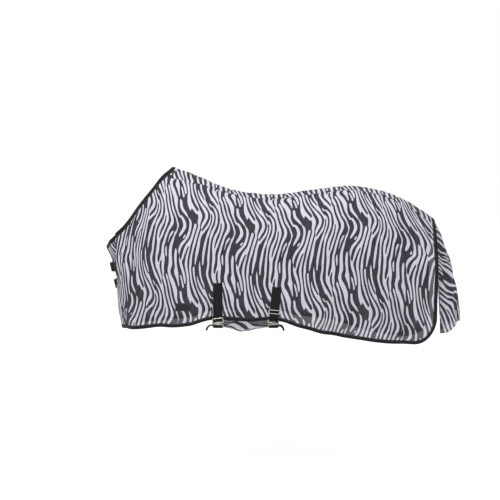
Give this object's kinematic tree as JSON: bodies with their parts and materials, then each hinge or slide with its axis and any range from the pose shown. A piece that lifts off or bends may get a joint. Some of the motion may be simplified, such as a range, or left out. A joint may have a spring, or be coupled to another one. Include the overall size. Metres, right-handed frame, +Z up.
{
  "type": "horse fly sheet",
  "caption": "Printed mesh fly sheet for a horse, with a chest that opens, a belly flap hooked to side straps and a tail flap.",
  "frame": {"origin": "the withers: the middle of the top line, where the neck edge meets it", "axes": "+X from the chest to the tail, +Y to the horse's right, +Z up"},
  "size_m": [1.9162, 0.5806, 0.9495],
  "materials": {
    "printed_mesh": "open polyester mesh with a black and white stripe print",
    "edge_binding": "woven polyester edge tape, matt black",
    "webbing": "ribbed polypropylene webbing, matt black",
    "fittings": "nickel plated, smooth",
    "label": "smooth woven label cloth, black"
  },
  "bodies": {
    "sheet": {"spine_strip": "printed_mesh", "left_side_panel": "printed_mesh", "right_side_panel": "printed_mesh", "left_neck_binding": "edge_binding", "right_neck_binding": "edge_binding", "left_hem_binding": "edge_binding", "right_hem_binding": "edge_binding", "left_rear_binding": "edge_binding", "right_rear_binding": "edge_binding", "label_patch": "label", "front_strap_backing": "edge_binding", "rear_strap_backing": "edge_binding", "front_belly_strap": "webbing", "rear_belly_strap": "webbing", "upper_ring_strap": "webbing", "lower_ring_strap": "webbing"},
    "left_chest": {"left_chest_flap": "printed_mesh", "left_chest_neck_binding": "edge_binding", "left_chest_hem_binding": "edge_binding", "upper_chest_strap": "webbing", "lower_chest_strap": "webbing"},
    "upper_chest_hook": {"upper_chest_hook": "fittings"},
    "lower_chest_hook": {"lower_chest_hook": "fittings"},
    "upper_chest_ring": {"upper_chest_ring": "fittings"},
    "lower_chest_ring": {"lower_chest_ring": "fittings"},
    "front_belly_ring": {"front_belly_ring": "fittings"},
    "rear_belly_ring": {"rear_belly_ring": "fittings"},
    "rear_belly_slide": {"rear_belly_slide": "fittings"},
    "belly_flap": {"belly_flap": "printed_mesh", "belly_flap_front_binding": "edge_binding", "belly_flap_rear_binding": "edge_binding", "belly_flap_near_binding": "edge_binding", "front_flap_strap": "webbing", "rear_flap_strap": "webbing", "front_strap_tail": "webbing", "rear_strap_tail": "webbing"},
    "front_belly_hook": {"front_belly_hook": "fittings"},
    "rear_belly_hook": {"rear_belly_hook": "fittings"},
    "tail_flap": {"tail_flap": "printed_mesh"}
  },
  "joints": [
    {"name": "chest_opening", "type": "hinge", "parent": "sheet", "child": "left_chest", "pos_m": [-0.208, -0.19, -0.55], "axis": [0, 0, 1], "range_deg": [0, 70]},
    {"name": "upper_chest_hook_swing", "type": "hinge", "parent": "left_chest", "child": "upper_chest_hook", "pos_m": [-0.33262, -0.02175, -0.54481], "axis": [-0.2334, 0, 0.9724], "range_deg": [0, 90]},
    {"name": "lower_chest_hook_swing", "type": "hinge", "parent": "left_chest", "child": "lower_chest_hook", "pos_m": [-0.31078, -0.02175, -0.63581], "axis": [-0.2334, 0, 0.9724], "range_deg": [0, 90]},
    {"name": "upper_chest_ring_swing", "type": "hinge", "parent": "sheet", "child": "upper_chest_ring", "pos_m": [-0.32805, 0.013, -0.54372], "axis": [-0.2334, 0, 0.9724], "range_deg": [0, 10]},
    {"name": "lower_chest_ring_swing", "type": "hinge", "parent": "sheet", "child": "lower_chest_ring", "pos_m": [-0.30621, 0.013, -0.63472], "axis": [-0.2334, 0, 0.9724], "range_deg": [0, 10]},
    {"name": "front_belly_ring_swing", "type": "hinge", "parent": "sheet", "child": "front_belly_ring", "pos_m": [0.251, -0.27881, -0.811], "axis": [-1, 0, 0], "range_deg": [0, 12]},
    {"name": "rear_belly_ring_swing", "type": "hinge", "parent": "sheet", "child": "rear_belly_ring", "pos_m": [0.545, -0.27881, -0.811], "axis": [-0.995, 0, 0.0998], "range_deg": [0, 90]},
    {"name": "rear_belly_slide_travel", "type": "slide", "parent": "sheet", "child": "rear_belly_slide", "axis": [0.099, -0.129, 0.9867], "range_m": [-0.015, 0.035]},
    {"name": "belly_flap_drop", "type": "hinge", "parent": "sheet", "child": "belly_flap", "pos_m": [0.4, 0.258, -0.82], "axis": [1, 0, 0], "range_deg": [0, 80]},
    {"name": "front_belly_hook_swing", "type": "hinge", "parent": "belly_flap", "child": "front_belly_hook", "pos_m": [0.251, -0.27481, -0.8445], "axis": [-1, 0, 0], "range_deg": [0, 60]},
    {"name": "rear_belly_hook_swing", "type": "hinge", "parent": "belly_flap", "child": "rear_belly_hook", "pos_m": [0.545, -0.27481, -0.8445], "axis": [-1, 0, 0], "range_deg": [0, 60]},
    {"name": "tail_flap_lift", "type": "hinge", "parent": "sheet", "child": "tail_flap", "pos_m": [1.412, 0, -0.28], "axis": [0, -1, 0], "range_deg": [0, 70]}
  ]
}
